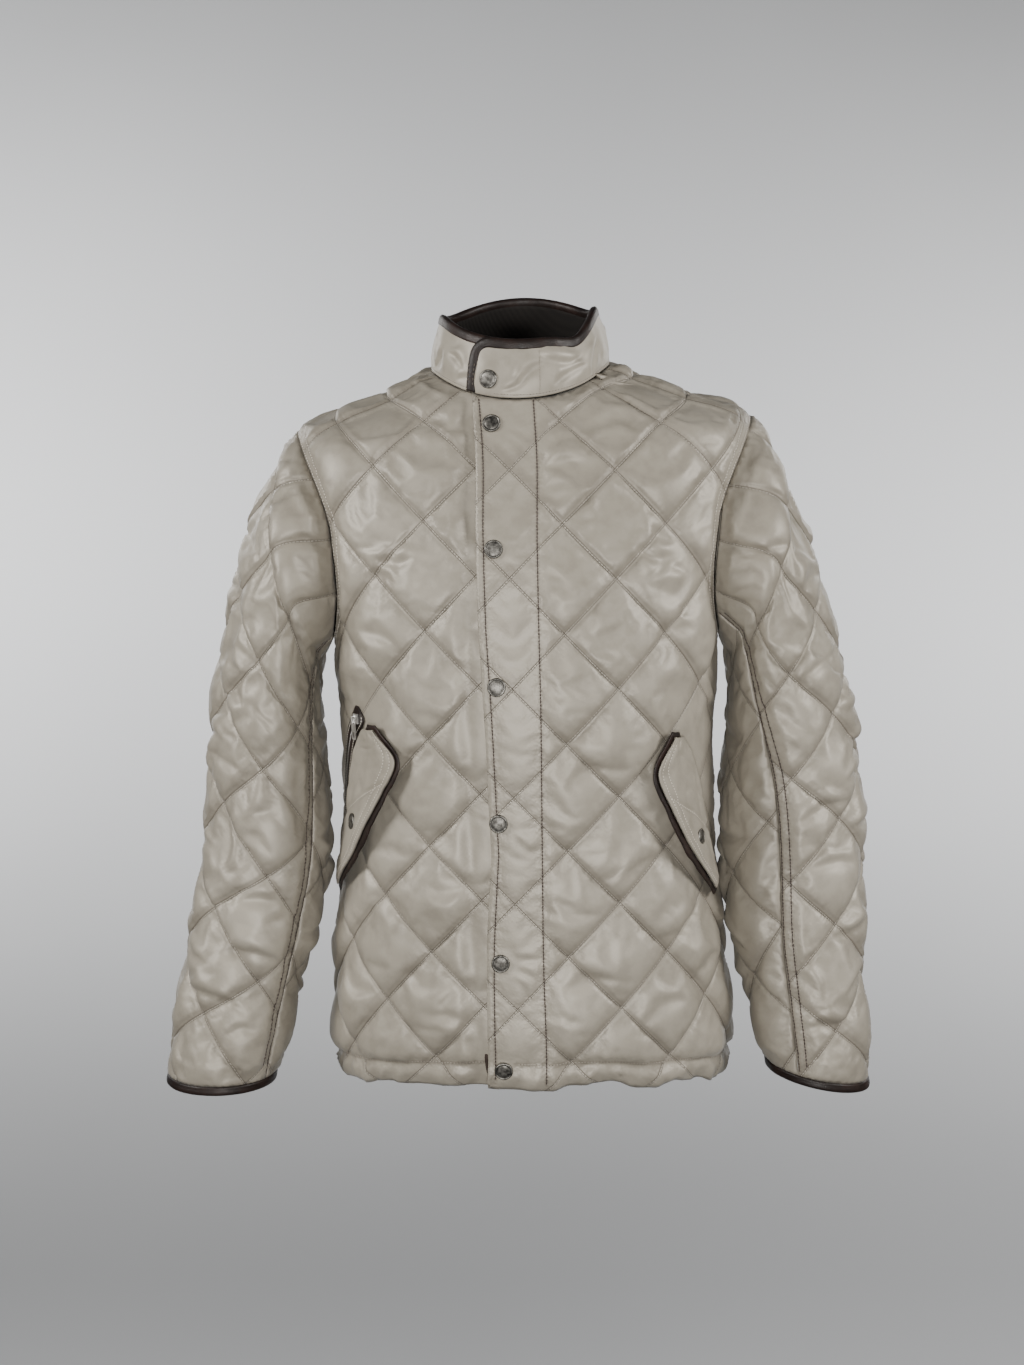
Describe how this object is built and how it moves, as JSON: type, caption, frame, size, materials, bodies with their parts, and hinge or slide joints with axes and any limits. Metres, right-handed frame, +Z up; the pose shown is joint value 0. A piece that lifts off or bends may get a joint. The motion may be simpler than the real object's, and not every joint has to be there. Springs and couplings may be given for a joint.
{
  "type": "quilted jacket",
  "caption": "Hip-length quilted jacket with a stand collar, a snapped placket, slanted pocket flaps, set-in sleeves and leather bindings, filled out as when worn.",
  "frame": {"origin": "on the jacket's middle line between the shoulders, level with the neck seam's sides", "axes": "+X to the wearer's left, -Y to the front, +Z up"},
  "size_m": [0.7359, 0.3292, 0.8155],
  "materials": {
    "shell_nylon": "satin quilted nylon",
    "collar_lining": "matte lining cloth",
    "brown_leather": "semi-gloss",
    "zip_tape": "matte woven tape",
    "aged_nickel": "aged nickel",
    "bright_nickel": "polished nickel"
  },
  "bodies": {
    "jacket": {"back": "shell_nylon", "collar": "shell_nylon", "collar_binding": "brown_leather", "collar_facing": "collar_lining", "cuff_binding_left": "brown_leather", "cuff_binding_right": "brown_leather", "flap_leather_left": "brown_leather", "flap_leather_right": "brown_leather", "flap_snap_left": "aged_nickel", "flap_snap_right": "aged_nickel", "front_left": "shell_nylon", "front_right": "shell_nylon", "front_zip_tape": "zip_tape", "pocket_flap_left": "shell_nylon", "pocket_flap_right": "shell_nylon", "sleeve_left_under": "shell_nylon", "sleeve_left_upper": "shell_nylon", "sleeve_right_under": "shell_nylon", "sleeve_right_upper": "shell_nylon", "snap_1": "aged_nickel", "snap_2": "aged_nickel", "snap_3": "aged_nickel", "snap_4": "aged_nickel", "snap_5": "aged_nickel", "snap_6": "aged_nickel", "snap_7": "aged_nickel", "zip_facing": "brown_leather", "zip_slider": "bright_nickel"},
    "pull_tab": {"zip_pull_tab": "bright_nickel"}
  },
  "joints": [
    {"name": "pull_tab_hinge", "type": "hinge", "parent": "jacket", "child": "pull_tab", "pos_m": [-0.17192, -0.09195, -0.34343], "axis": [-0.5361, 0.8441, 0], "range_deg": [0, 160]}
  ]
}
